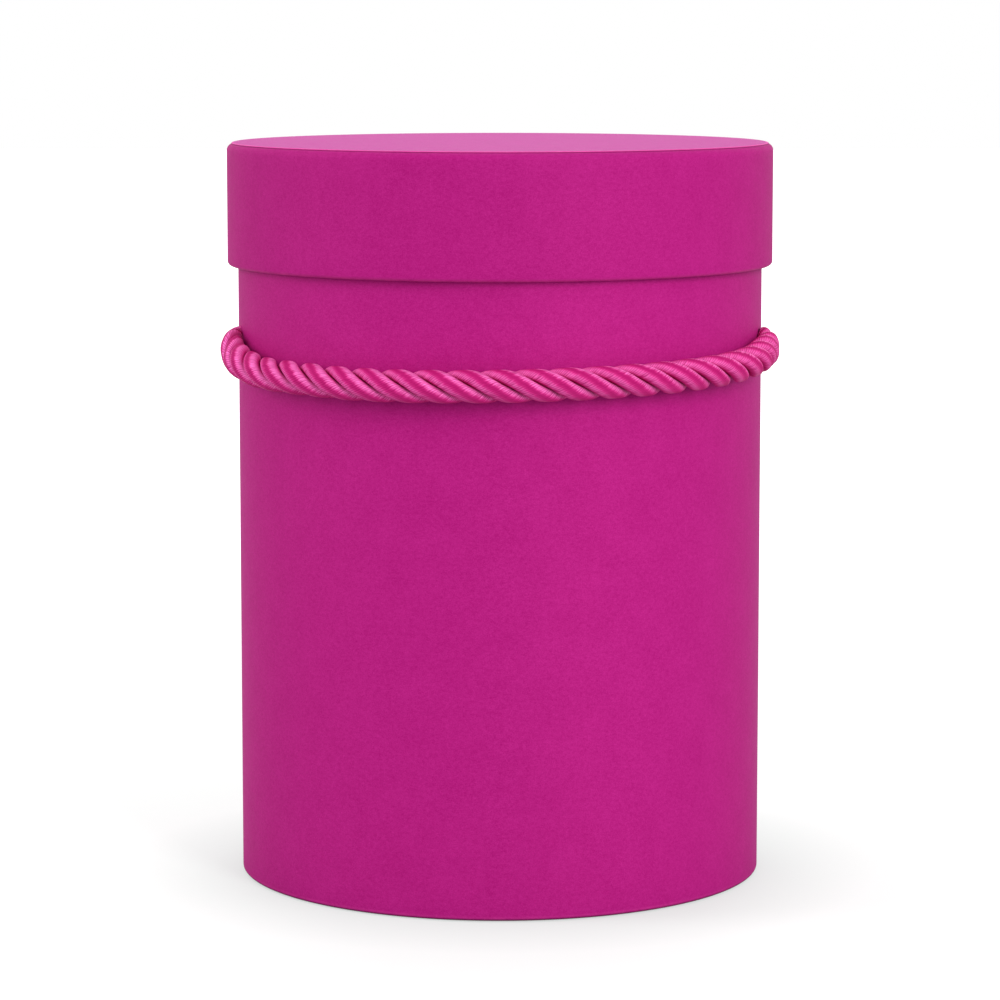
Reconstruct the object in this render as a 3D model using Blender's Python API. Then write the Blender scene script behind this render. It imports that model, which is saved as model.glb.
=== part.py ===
"""A round flower box: a paper-covered board tube, a deep lid that slips over it, and a twisted cord handle.

Sizes are in metres. The box stands on the plane z = 0 with its axis on Z, and its front, where the
cord lies, faces -Y. Each piece is a separate closed body, and the lid lifts off along +Z.
"""

import math

import bmesh
import bpy
import numpy as np
from mathutils import Matrix, Vector

# Body
BODY_RADIUS = 0.0800  # outer face of the body's paper
BODY_HEIGHT = 0.2204  # top of the body's rim, where the lid rests
WALL_BOARD = 0.0018
BASE_BOARD = 0.0020
RIM_FOLD = 0.0012  # outer radius of the paper's fold over the rim
FOOT_FOLD = 0.0010  # outer radius of the paper's fold round the foot
TURN_IN = 0.0150  # how far the wall paper runs down inside the rim
TURN_UNDER = 0.0140  # how far it runs in under the foot
BASE_COVER_INSET = 0.0030  # edge of the base cover, inside the wall's outer face
LINING_DROP = 0.0050  # the lining's upper edge, below the rim
LINING_STEP = 0.0010  # height over which the lining steps inwards on to the turn-in

# Lid
LID_CLEARANCE = 0.0007  # between the body's paper and the paper inside the skirt
LID_HEIGHT = 0.0365
LID_BOARD = 0.0014
LID_TOP_BOARD = 0.0016
LID_FOLD = 0.0012  # outer radius of the paper's fold under the skirt
LID_EDGE = 0.0020  # outer radius of the lid's upper edge
TURN_OVER = 0.0140  # how far the skirt's paper runs in over the top

# Paper and joints
PAPER = 0.00025
GLUE_GAP = 0.0003  # space left between two pieces that are glued face to face
SEAM_GAP = 0.0004  # between the two edges of a wrapped paper, at the back
REST_GAP = 0.0003  # between the rim and the lid that rests on it

# Cord
CORD_RADIUS = 0.0048
CORD_GAP = 0.0003  # between the cord and the wall it lies on, and between its stretches
KNOT_GAP = 0.0012  # between neighbouring passes of a knot
KNOT_DROP = 0.0060  # from the handle's last point down to the knot's first
HOLE_RADIUS = 0.0070
HOLE_HEIGHT = 0.1638
HOLE_AZIMUTH = math.radians(80.0)  # from the front, to either side
HOLE_OVERRUN = 0.0100  # how far a hole's cutter stands out of the wall on both faces
TAPE_LENGTH = 0.0060
TAPE_THICKNESS = 0.0004
TAPE_INSET = 0.0010  # from the tape's edge to the cord's cut end
END_RUN = 0.0010  # straight run at the ends of each stretch of cord

# Facets
SEGMENTS = 64  # round the box
FOLD_STEPS = 3  # in a quarter turn of a fold
HOLE_SEGMENTS = 20
TAPE_SEGMENTS = 16
CORD_STEP = 0.0220  # greatest distance between two points of the cord
HANDLE_TURN = math.radians(32.0)  # greatest turn between two points of the handle
KNOT_TURN = math.radians(52.0)  # and of a knot
FINE_STEPS = 4000

MM = 0.001

# The handle's route along the front, from left to right: the azimuth from the front in degrees,
# the rise above the cord holes in millimetres, and the cord's girth as a share of its full girth.
FRONT_ROUTE = [
    (-70, -2.7, 0.83),
    (-65, -3.8, 0.96),
    (-60, -5.0, 1.0),
    (-45, -6.1, 1.0),
    (-30, -6.6, 1.0),
    (-15, -6.5, 1.0),
    (0, -6.2, 1.0),
    (15, -5.8, 1.0),
    (30, -5.3, 1.0),
    (45, -4.6, 1.0),
    (60, -3.2, 1.0),
    (65, -2.3, 0.96),
    (70, -1.3, 0.83),
]

# Its route through a hole and down inside: the azimuth past the hole in degrees, the distance
# outwards from the wall's face and the rise above the hole in millimetres, and the share of girth.
ENTRY_ROUTE = [
    (-6.0, 3.85, -1.0, 0.75),
    (-3.0, 3.0, -0.4, 0.73),
    (-0.2, 0.5, 0.0, 0.73),
    (1.6, -3.3, 0.15, 0.75),
    (3.1, -8.1, -0.1, 0.81),
    (5.1, -13.6, -2.2, 0.94),
    (6.9, -18.4, -6.6, 1.0),
    (8.4, -20.9, -12.6, 1.0),
]

# Half of an overhand knot, from its middle to its lower end, as shares of the distance between
# the centres of two passes that touch: to the front, upwards, and outwards to the wall. The other
# half is the same half turned half round.
KNOT_SHARES = [
    (0.20, 0.70, 0.65),
    (-0.45, 1.27, 0.87),
    (-1.20, 1.38, 0.55),
    (-1.67, 0.84, -0.15),
    (-1.25, -0.08, -0.52),
    (-0.60, -0.75, 0.0),
    (-0.25, -1.80, 0.25),
    (-0.10, -2.45, 0.28),
]
KNOT_MIDDLE_SHARES = (0.32, 0.0, 0.0)
TAIL_SHARES = (0.02, -3.0, 0.30)

# Levels, from the surface up
FOOT_LEVEL = PAPER + GLUE_GAP
BOARD_LEVEL = FOOT_LEVEL + PAPER + GLUE_GAP
FLOOR_LEVEL = BOARD_LEVEL + BASE_BOARD
LINING_LEVEL = FLOOR_LEVEL + GLUE_GAP + PAPER + GLUE_GAP
LID_LINING_LEVEL = BODY_HEIGHT + REST_GAP
LID_DISC_LEVEL = LID_LINING_LEVEL + PAPER + GLUE_GAP
LID_BOARD_TOP = LID_DISC_LEVEL + LID_TOP_BOARD
LID_FOLD_TOP = LID_BOARD_TOP + GLUE_GAP + PAPER
LID_COVER_LEVEL = LID_FOLD_TOP + GLUE_GAP
LID_TOP = LID_COVER_LEVEL + PAPER
LID_BOTTOM = LID_TOP - LID_HEIGHT

# Radii of the body, from the outside in, and of the lid, from the inside out
TUBE_OUTER = BODY_RADIUS - PAPER - GLUE_GAP
TUBE_INNER = TUBE_OUTER - WALL_BOARD
TURN_IN_INNER = TUBE_INNER - GLUE_GAP - PAPER
LINING_OUTER = TUBE_INNER - GLUE_GAP
LINING_OUTER_ABOVE = TURN_IN_INNER - GLUE_GAP
SKIRT_INNER = BODY_RADIUS + LID_CLEARANCE
BAND_INNER = SKIRT_INNER + PAPER + GLUE_GAP
BAND_OUTER = BAND_INNER + LID_BOARD
LID_RADIUS = BAND_OUTER + GLUE_GAP + PAPER


def clear_scene():
    """Remove every object that the scene starts with."""
    for thing in list(bpy.data.objects):
        bpy.data.objects.remove(thing, do_unlink=True)


def make_material(name, colour, roughness, coat=0.0):
    """A Principled material of one linear colour."""
    material = bpy.data.materials.new(name)
    material.use_nodes = True
    shader = material.node_tree.nodes["Principled BSDF"]
    shader.inputs["Base Color"].default_value = (*colour, 1.0)
    shader.inputs["Roughness"].default_value = roughness
    shader.inputs["Metallic"].default_value = 0.0
    shader.inputs["Sheen Weight"].default_value = coat
    return material


def add_object(name, mesh, material):
    """Put a mesh in the scene as a smooth-shaded object with one material."""
    mesh.shade_smooth()
    mesh.set_sharp_from_angle(angle=math.radians(35))
    mesh.materials.append(material)
    piece = bpy.data.objects.new(name, mesh)
    bpy.context.scene.collection.objects.link(piece)
    return piece


def arc(centre, radius, start, end):
    """Points of a fold's arc, with both ends, from start to end in degrees."""
    angles = np.radians(np.linspace(start, end, FOLD_STEPS + 1))
    return [(centre[0] + radius * math.cos(a), centre[1] + radius * math.sin(a)) for a in angles]


def turned(name, outline, material, seam=False):
    """Turn a closed outline of (radius, height) points round the axis.

    With a seam it is a sheet wrapped round, whose two edges meet at the back.
    """
    bm = bmesh.new()
    half_gap = SEAM_GAP / (2 * BODY_RADIUS) if seam else 0.0
    corners = [bm.verts.new((radius, 0.0, height)) for radius, height in outline]
    edges = [bm.edges.new((a, b)) for a, b in zip(corners, corners[1:] + corners[:1])]
    start = Matrix.Rotation(math.pi / 2 + half_gap, 3, "Z")
    bmesh.ops.rotate(bm, verts=corners, cent=(0, 0, 0), matrix=start)
    bmesh.ops.spin(
        bm,
        geom=corners + edges,
        cent=(0, 0, 0),
        axis=(0, 0, 1),
        angle=2 * math.pi - 2 * half_gap,
        steps=SEGMENTS,
        use_merge=not seam,
    )
    if seam:
        open_edges = [edge for edge in bm.edges if edge.is_boundary]
        bmesh.ops.holes_fill(bm, edges=open_edges, sides=0)
    bmesh.ops.recalc_face_normals(bm, faces=bm.faces)
    mesh = bpy.data.meshes.new(name)
    bm.to_mesh(mesh)
    bm.free()
    return add_object(name, mesh, material)


def disc(name, radius, low, high, material):
    """A flat round piece between two levels."""
    bm = bmesh.new()
    bmesh.ops.create_cone(
        bm,
        cap_ends=True,
        segments=SEGMENTS,
        radius1=radius,
        radius2=radius,
        depth=high - low,
        matrix=Matrix.Translation((0, 0, (low + high) / 2)),
    )
    mesh = bpy.data.meshes.new(name)
    bm.to_mesh(mesh)
    bm.free()
    return add_object(name, mesh, material)


def paper_outline(path):
    """Close the outline of a folded sheet: its outer face, and its inner face one paper deeper."""
    return path(0.0) + path(PAPER)[::-1]


def wall_paper(depth):
    """The wall paper's section at a depth inside its outer face, from the turn-in to the foot."""
    inner = (TURN_IN_INNER + RIM_FOLD, BODY_HEIGHT - RIM_FOLD)
    outer = (BODY_RADIUS - RIM_FOLD, BODY_HEIGHT - RIM_FOLD)
    foot = (BODY_RADIUS - FOOT_FOLD, FOOT_LEVEL + FOOT_FOLD)
    return (
        [(TURN_IN_INNER + depth, BODY_HEIGHT - TURN_IN)]
        + arc(inner, RIM_FOLD - depth, 180, 90)
        + arc(outer, RIM_FOLD - depth, 90, 0)
        + arc(foot, FOOT_FOLD - depth, 0, -90)
        + [(BODY_RADIUS - TURN_UNDER, FOOT_LEVEL + depth)]
    )


def skirt_paper(depth):
    """The skirt paper's section at a depth inside its outer face, from the top to the lid's disc."""
    edge = (LID_RADIUS - LID_EDGE, LID_FOLD_TOP - LID_EDGE)
    outer = (LID_RADIUS - LID_FOLD, LID_BOTTOM + LID_FOLD)
    inner = (SKIRT_INNER + LID_FOLD, LID_BOTTOM + LID_FOLD)
    return (
        [(LID_RADIUS - TURN_OVER, LID_FOLD_TOP - depth)]
        + arc(edge, LID_EDGE - depth, 90, 0)
        + arc(outer, LID_FOLD - depth, 0, -90)
        + arc(inner, LID_FOLD - depth, -90, -180)
        + [(SKIRT_INNER + depth, LID_DISC_LEVEL - GLUE_GAP)]
    )


def tube_outline():
    """The wall board's section, rounded where the paper folds over it."""
    board_depth = PAPER + GLUE_GAP
    rim = RIM_FOLD - board_depth
    foot = FOOT_FOLD - board_depth
    top = BODY_HEIGHT - RIM_FOLD
    return (
        [(TUBE_INNER, BOARD_LEVEL)]
        + arc((TUBE_OUTER - foot, BOARD_LEVEL + foot), foot, -90, 0)
        + arc((TUBE_OUTER - rim, top), rim, 0, 90)
        + arc((TUBE_INNER + rim, top), rim, 90, 180)
    )


def band_outline():
    """The lid band's section, rounded where the paper folds over it."""
    board_depth = PAPER + GLUE_GAP
    edge = LID_EDGE - board_depth
    fold = LID_FOLD - board_depth
    low = LID_BOTTOM + LID_FOLD
    return (
        arc((BAND_INNER + fold, low), fold, 180, 270)
        + arc((BAND_OUTER - fold, low), fold, -90, 0)
        + arc((BAND_OUTER - edge, LID_BOARD_TOP - edge), edge, 0, 90)
        + [(BAND_INNER, LID_BOARD_TOP)]
    )


def lining_outline():
    """The wall lining's section, stepped where it runs over the turn-in."""
    step_top = BODY_HEIGHT - TURN_IN - GLUE_GAP
    step_foot = step_top - LINING_STEP
    upper_edge = BODY_HEIGHT - LINING_DROP
    return [
        (LINING_OUTER, LINING_LEVEL),
        (LINING_OUTER, step_foot),
        (LINING_OUTER_ABOVE, step_top),
        (LINING_OUTER_ABOVE, upper_edge),
        (LINING_OUTER_ABOVE - PAPER, upper_edge),
        (LINING_OUTER_ABOVE - PAPER, step_top),
        (LINING_OUTER - PAPER, step_foot),
        (LINING_OUTER - PAPER, LINING_LEVEL),
    ]


def hole_cutter():
    """Two round bars along the cord holes' axes, one object that cuts both holes."""
    bm = bmesh.new()
    for side in (-1, 1):
        outwards = Vector((side * math.sin(HOLE_AZIMUTH), -math.cos(HOLE_AZIMUTH), 0.0))
        middle = outwards * (BODY_RADIUS + TUBE_INNER) / 2 + Vector((0, 0, HOLE_HEIGHT))
        turn = outwards.to_track_quat("Z", "Y").to_matrix().to_4x4()
        bmesh.ops.create_cone(
            bm,
            cap_ends=True,
            segments=HOLE_SEGMENTS,
            radius1=HOLE_RADIUS,
            radius2=HOLE_RADIUS,
            depth=BODY_RADIUS - TUBE_INNER + 2 * HOLE_OVERRUN,
            matrix=Matrix.Translation(middle) @ turn,
        )
    mesh = bpy.data.meshes.new("hole_cutter")
    bm.to_mesh(mesh)
    bm.free()
    cutter = bpy.data.objects.new("hole_cutter", mesh)
    bpy.context.scene.collection.objects.link(cutter)
    cutter.hide_render = True
    cutter.display_type = "WIRE"
    return cutter


def punch(piece, cutter):
    """Cut the two cord holes through a piece of the wall."""
    cut = piece.modifiers.new("cord_holes", "BOOLEAN")
    cut.operation = "DIFFERENCE"
    cut.solver = "EXACT"
    cut.object = cutter


def on_wall(azimuth, outwards, height, girth_share):
    """A point of the cord: its place by azimuth and distance from the wall, and its girth."""
    reach = BODY_RADIUS + outwards
    return (reach * math.sin(azimuth), -reach * math.cos(azimuth), height, girth_share)


def front_points():
    """The handle's points on the front, where it lies on the wall."""
    return [
        on_wall(
            math.radians(azimuth),
            CORD_GAP + CORD_RADIUS * girth_share,
            HOLE_HEIGHT + rise * MM,
            girth_share,
        )
        for azimuth, rise, girth_share in FRONT_ROUTE
    ]


def entry_points():
    """The right end of the handle, from the wall through the hole to the inside."""
    return [
        on_wall(
            HOLE_AZIMUTH + math.radians(past),
            outwards * MM,
            HOLE_HEIGHT + rise * MM,
            girth_share,
        )
        for past, outwards, rise, girth_share in ENTRY_ROUTE
    ]


def knot_points(top):
    """The points of the right-hand knot, hung so that it starts right under the handle's last point."""
    pitch = 2 * CORD_RADIUS + KNOT_GAP
    lower = KNOT_SHARES
    upper = [(front, -up, -outwards) for front, up, outwards in lower][::-1]
    shares = upper + [KNOT_MIDDLE_SHARES] + lower + [TAIL_SHARES]
    first, second = [Vector((outwards, -front, up)) for front, up, outwards in shares[:2]]
    hang = Vector(top[:3]) + (second - first).normalized() * KNOT_DROP - pitch * first
    return [
        (hang.x + pitch * outwards, hang.y - pitch * front, hang.z + pitch * up, 1.0)
        for front, up, outwards in shares
    ]


def mirrored(points):
    """The same points on the left side."""
    return [(-x, y, z, girth_share) for x, y, z, girth_share in points]


class SmoothCurve:
    """A natural cubic spline through rows of numbers, by the distance between their first three."""

    def __init__(self, rows):
        self.rows = np.array(rows, dtype=float)
        steps = np.linalg.norm(np.diff(self.rows[:, :3], axis=0), axis=1)
        self.places = np.concatenate([[0.0], np.cumsum(steps)])
        count = len(self.rows)
        system = np.eye(count)
        right = np.zeros_like(self.rows)
        for i in range(1, count - 1):
            before, after = steps[i - 1], steps[i]
            system[i, i - 1 : i + 2] = before, 2 * (before + after), after
            rise = (self.rows[i + 1] - self.rows[i]) / after
            fall = (self.rows[i] - self.rows[i - 1]) / before
            right[i] = 6 * (rise - fall)
        self.bends = np.linalg.solve(system, right)

    def at(self, places):
        """The rows at some places along the spline."""
        places = np.asarray(places, dtype=float)
        last = len(self.places) - 2
        i = np.clip(np.searchsorted(self.places, places, side="right") - 1, 0, last)
        span = (self.places[i + 1] - self.places[i])[:, None]
        to_end = (self.places[i + 1] - places)[:, None]
        from_start = (places - self.places[i])[:, None]
        bend_a, bend_b = self.bends[i], self.bends[i + 1]
        return (
            (bend_a * to_end**3 + bend_b * from_start**3) / (6 * span)
            + (self.rows[i] / span - bend_a * span / 6) * to_end
            + (self.rows[i + 1] / span - bend_b * span / 6) * from_start
        )


def spread_places(curve, start, end, turn, last_run):
    """Places from start to end, close together where the curve bends, with a short run at both ends."""
    inner_start, inner_end = start + END_RUN, end - last_run
    fine = np.linspace(inner_start, inner_end, FINE_STEPS)
    line = curve.at(fine)[:, :3]
    runs = np.diff(line, axis=0)
    lengths = np.linalg.norm(runs, axis=1)
    directions = runs / lengths[:, None]
    cosines = np.clip((directions[1:] * directions[:-1]).sum(axis=1), -1.0, 1.0)
    turns = np.concatenate([[0.0], np.arccos(cosines)])
    cost = np.concatenate([[0.0], np.cumsum(lengths / CORD_STEP + turns / turn)])
    count = math.ceil(cost[-1])
    inner = np.interp(np.linspace(0.0, cost[-1], count + 1), cost, fine)
    return np.concatenate([[start], inner, [end]])


def cord_tube(name, rows, material, resolution):
    """A tube along rows of (x, y, z, girth share)."""
    curve = bpy.data.curves.new(name, "CURVE")
    curve.dimensions = "3D"
    curve.bevel_depth = CORD_RADIUS
    curve.bevel_resolution = resolution
    curve.use_fill_caps = True
    spline = curve.splines.new("POLY")
    spline.points.add(len(rows) - 1)
    for point, row in zip(spline.points, rows):
        point.co = (row[0], row[1], row[2], 1.0)
        point.radius = row[3]
    spline.use_smooth = True
    curve.materials.append(material)
    piece = bpy.data.objects.new(name, curve)
    bpy.context.scene.collection.objects.link(piece)
    return piece


def end_tape(name, rows, material):
    """A thin sleeve of tape round the straight end of a tail."""
    end, before = Vector(rows[-1][:3]), Vector(rows[-2][:3])
    along = (end - before).normalized()
    inner = CORD_RADIUS + CORD_GAP
    bm = bmesh.new()
    outline = [
        (inner, TAPE_INSET),
        (inner + TAPE_THICKNESS, TAPE_INSET),
        (inner + TAPE_THICKNESS, TAPE_INSET + TAPE_LENGTH),
        (inner, TAPE_INSET + TAPE_LENGTH),
    ]
    corners = [bm.verts.new((radius, 0.0, -depth)) for radius, depth in outline]
    edges = [bm.edges.new((a, b)) for a, b in zip(corners, corners[1:] + corners[:1])]
    bmesh.ops.spin(
        bm,
        geom=corners + edges,
        cent=(0, 0, 0),
        axis=(0, 0, 1),
        angle=2 * math.pi,
        steps=TAPE_SEGMENTS,
        use_merge=True,
    )
    bmesh.ops.recalc_face_normals(bm, faces=bm.faces)
    place = Matrix.Translation(end) @ along.to_track_quat("Z", "Y").to_matrix().to_4x4()
    bm.transform(place)
    mesh = bpy.data.meshes.new(name)
    bm.to_mesh(mesh)
    bm.free()
    return add_object(name, mesh, material)


def least_gap(rows):
    """The least distance between two passes of a stretch that are not neighbours along it."""
    line = np.array(rows)[:, :3]
    places = np.concatenate([[0.0], np.cumsum(np.linalg.norm(np.diff(line, axis=0), axis=1))])
    apart = np.linalg.norm(line[:, None] - line[None], axis=-1)
    neighbours = np.abs(places[:, None] - places[None]) < 4 * CORD_RADIUS
    return float(np.where(neighbours, np.inf, apart).min() - 2 * CORD_RADIUS)


def make_body(papers, cutter):
    """The box's own pieces, from the wall's board to the papers."""
    board, outer_paper, lining_paper = papers
    tube = turned("body_tube", tube_outline(), board)
    wrap = turned("body_wrap", paper_outline(wall_paper), outer_paper, seam=True)
    lining = turned("body_lining", lining_outline(), lining_paper, seam=True)
    for piece in (tube, wrap, lining):
        punch(piece, cutter)
    disc("base_disc", TUBE_INNER - GLUE_GAP, BOARD_LEVEL, FLOOR_LEVEL, board)
    disc("base_cover", BODY_RADIUS - BASE_COVER_INSET, 0.0, PAPER, outer_paper)
    lining_top = LINING_LEVEL - GLUE_GAP
    disc("base_lining", LINING_OUTER, lining_top - PAPER, lining_top, lining_paper)


def make_lid(papers):
    """The lid's pieces, which lift off together."""
    board, outer_paper, lining_paper = papers
    turned("lid_rim", band_outline(), board)
    turned("lid_wrap", paper_outline(skirt_paper), outer_paper, seam=True)
    disc("lid_disc", BAND_INNER - GLUE_GAP, LID_DISC_LEVEL, LID_BOARD_TOP, board)
    disc("lid_top_cover", LID_RADIUS - LID_EDGE, LID_COVER_LEVEL, LID_TOP, outer_paper)
    lining_high = LID_LINING_LEVEL + PAPER
    disc("lid_lining", SKIRT_INNER - GLUE_GAP, LID_LINING_LEVEL, lining_high, lining_paper)


def make_cord(cord_material, tape_material):
    """The cord: the handle between the knots, the knots with their tails, and the tape on the tails."""
    right_entry = entry_points()
    right_knot = knot_points(right_entry[-1])
    left_entry, left_knot = mirrored(right_entry), mirrored(right_knot)
    rows = left_knot[::-1] + left_entry[::-1] + front_points() + right_entry + right_knot
    curve = SmoothCurve(rows)
    knot_count = len(right_knot)
    left_join = curve.places[knot_count - 1]
    right_join = curve.places[-knot_count]
    end = curve.places[-1]
    tail_run = TAPE_INSET + TAPE_LENGTH + END_RUN
    handle = curve.at(spread_places(curve, left_join, right_join, HANDLE_TURN, END_RUN))
    knot_places = spread_places(curve, right_join + CORD_GAP, end, KNOT_TURN, tail_run)
    right, left = curve.at(knot_places), curve.at(end - knot_places)
    cord_tube("cord_handle", handle, cord_material, 3)
    for side, stretch in (("left", left), ("right", right)):
        cord_tube(side + "_knot", stretch, cord_material, 2)
        end_tape(side + "_end_tape", stretch, tape_material)
    fine = curve.at(np.linspace(right_join, end, FINE_STEPS // 4))
    lengths = np.linalg.norm(np.diff(curve.at(np.linspace(0, end, FINE_STEPS))[:, :3], axis=0), axis=1)
    print("cord points", len(handle) + 2 * len(right))
    print("cord length", round(float(lengths.sum()), 4))
    print("least gap inside a knot", round(least_gap(fine), 5))


def main():
    clear_scene()
    board = make_material("chipboard", (0.36, 0.32, 0.26), 0.9)
    outer_paper = make_material("fuchsia_paper", (0.47, 0.015, 0.21), 0.6)
    lining_paper = make_material("white_lining_paper", (0.82, 0.80, 0.77), 0.7)
    satin_cord = make_material("satin_cord", (0.70, 0.06, 0.33), 0.4, coat=0.5)
    clear_tape = make_material("end_tape", (0.75, 0.70, 0.70), 0.3)
    papers = (board, outer_paper, lining_paper)
    make_body(papers, hole_cutter())
    make_lid(papers)
    make_cord(satin_cord, clear_tape)


main()
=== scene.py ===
# %% [markdown]
# # A round flower box in fuchsia paper
#
# The object is a tall board tube covered in dyed paper, a deep lid that slips over it, and a thick
# twisted satin cord that lies round the front and goes into the wall at both sides. The solids for
# motion and collision are already made. This lesson puts the visible surfaces over them: thin sheets
# of paper with their folds, and a rope whose strands and threads can be seen.

# %% Load the solids
import math

import bpy
import numpy as np
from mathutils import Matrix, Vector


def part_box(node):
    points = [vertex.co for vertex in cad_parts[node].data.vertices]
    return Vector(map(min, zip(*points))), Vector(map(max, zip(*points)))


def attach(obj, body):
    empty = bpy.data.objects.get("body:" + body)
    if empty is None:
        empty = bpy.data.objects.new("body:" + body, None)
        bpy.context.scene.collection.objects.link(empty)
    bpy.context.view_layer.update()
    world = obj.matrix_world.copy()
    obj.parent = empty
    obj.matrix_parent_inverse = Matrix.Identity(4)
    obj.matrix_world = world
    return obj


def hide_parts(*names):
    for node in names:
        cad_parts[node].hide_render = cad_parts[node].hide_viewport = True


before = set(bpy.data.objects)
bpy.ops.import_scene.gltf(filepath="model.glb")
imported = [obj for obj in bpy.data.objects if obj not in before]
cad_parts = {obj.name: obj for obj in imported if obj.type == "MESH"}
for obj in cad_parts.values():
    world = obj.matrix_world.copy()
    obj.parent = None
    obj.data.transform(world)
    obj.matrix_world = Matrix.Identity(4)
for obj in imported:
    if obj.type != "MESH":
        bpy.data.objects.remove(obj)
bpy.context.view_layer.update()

scene = bpy.context.scene
MM = 0.001

# %% [markdown]
# ## The camera
#
# The picture was taken from a little above the lid, with a long lens and hardly any perspective. A
# camera can be placed by eye, but two ellipses say where it stood: the lid's is narrow, so the camera
# was only just above it, and the foot's is wider. The distance, height and tilt were fitted to both.

# %% Camera
CAMERA_DISTANCE = 1.1763
CAMERA_HEIGHT = 0.2653
CAMERA_TILT = math.radians(7.33)
CAMERA_LENS = 138.3
SENSOR_WIDTH = 36.0

camera_data = bpy.data.cameras.new("picture_camera")
camera_data.sensor_width = SENSOR_WIDTH
camera_data.lens = CAMERA_LENS
camera_data.clip_start = 0.05
camera_data.clip_end = 50.0
camera = bpy.data.objects.new("picture_camera", camera_data)
camera.location = (0.0, -CAMERA_DISTANCE, CAMERA_HEIGHT)
camera.rotation_euler = (math.pi / 2 - CAMERA_TILT, 0.0, 0.0)
scene.collection.objects.link(camera)
scene.camera = camera
scene.view_settings.view_transform = "Standard"
print("camera lens", CAMERA_LENS, "mm at", CAMERA_DISTANCE, "m")

# %% [markdown]
# ## The cord's route
#
# The cord is one length of rope. It hangs from two holes in the wall, lies against the front between
# them, and inside the box it drops a little and is tied in an overhand knot at each end. A curve drawn
# by hand could follow it, but points that say where the rope is, by azimuth round the wall and by shares
# of the knot's size, can be read and corrected. The points are those of the solid tube. Each has a
# girth too, because the rope is squeezed where it goes over the edge of the hole.

# %% The route's points
WALL_RADIUS = 80.0 * MM
CORD_RADIUS = 4.8 * MM
WALL_GAP = 0.3 * MM
HOLE_HEIGHT = 163.8 * MM
HOLE_AZIMUTH = math.radians(80.0)
HOLE_RADIUS = 4.3 * MM
HOLE_ROW = 3
KNOT_PITCH = 2 * CORD_RADIUS + 1.2 * MM
KNOT_DROP = 6.0 * MM

# azimuth in degrees, rise above the holes in millimetres, girth
front_route = [
    (-70, -2.7, 0.83), (-65, -3.8, 0.96), (-60, -5.0, 1.0), (-45, -6.1, 1.0), (-30, -6.6, 1.0),
    (-15, -6.5, 1.0), (0, -6.2, 1.0), (15, -5.8, 1.0), (30, -5.3, 1.0), (45, -4.6, 1.0),
    (60, -3.2, 1.0), (65, -2.3, 0.96), (70, -1.3, 0.83),
]

# degrees past the hole, millimetres out from the wall's face, rise in millimetres, girth; the row
# numbered HOLE_ROW lies in the middle of the wall's thickness, in the hole
entry_route = [
    (-6.0, 3.85, -1.0, 0.75), (-3.0, 3.0, -0.4, 0.73), (-0.2, 0.5, 0.0, 0.73),
    (1.6, -3.3, 0.15, 0.75), (3.1, -8.1, -0.1, 0.81), (5.1, -13.6, -2.2, 0.94),
    (6.9, -18.4, -6.6, 1.0), (8.4, -20.9, -12.6, 1.0),
]

# half of the overhand knot, in shares of the knot's pitch: to the front, up, outwards
knot_half = np.array([
    (0.20, 0.70, 0.65), (-0.45, 1.27, 0.87), (-1.20, 1.38, 0.55), (-1.67, 0.84, -0.15),
    (-1.25, -0.08, -0.52), (-0.60, -0.75, 0.0), (-0.25, -1.80, 0.25), (-0.10, -2.45, 0.28),
])
knot_middle = (0.32, 0.0, 0.0)
tail_end = (0.02, -3.0, 0.30)


def wall_point(azimuth, outwards, height, girth):
    """A point by azimuth from the front and distance from the wall's face, with its girth."""
    reach = WALL_RADIUS + outwards
    return (reach * math.sin(azimuth), -reach * math.cos(azimuth), height, girth)


def knot_route(top):
    """The overhand knot's points: half of it turned half round, its middle, and the half itself.

    The knot hangs below the given top, by a short straight drop along its own first direction.
    """
    first_half = knot_half[::-1] * (1, -1, -1)
    shares = np.vstack([first_half, knot_middle, knot_half, tail_end])
    places = shares[:, [2, 0, 1]] * (1, -1, 1)
    slope = places[1] - places[0]
    hang = top + slope / np.linalg.norm(slope) * KNOT_DROP - KNOT_PITCH * places[0]
    return np.column_stack([hang + KNOT_PITCH * places, np.ones(len(places))])


front = np.array([
    wall_point(math.radians(a), WALL_GAP + CORD_RADIUS * girth, HOLE_HEIGHT + rise * MM, girth)
    for a, rise, girth in front_route
])
entry = np.array([
    wall_point(HOLE_AZIMUTH + math.radians(past), out * MM, HOLE_HEIGHT + rise * MM, girth)
    for past, out, rise, girth in entry_route
])
knot = knot_route(entry[-1, :3])
mirror = np.array([-1.0, 1.0, 1.0, 1.0])
route = np.vstack([knot[::-1] * mirror, entry[::-1] * mirror, front, entry, knot])
print("route points:", len(route))


# %% [markdown]
# ## A smooth curve
#
# A rope has no corners, so its direction and its bend must change evenly from point to point. A curve
# object could do that, but its handles would need setting one by one, and the strands need the
# curve's points and not only its picture. A natural cubic spline goes through every point, and it is
# the solution of one small set of equations.

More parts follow.
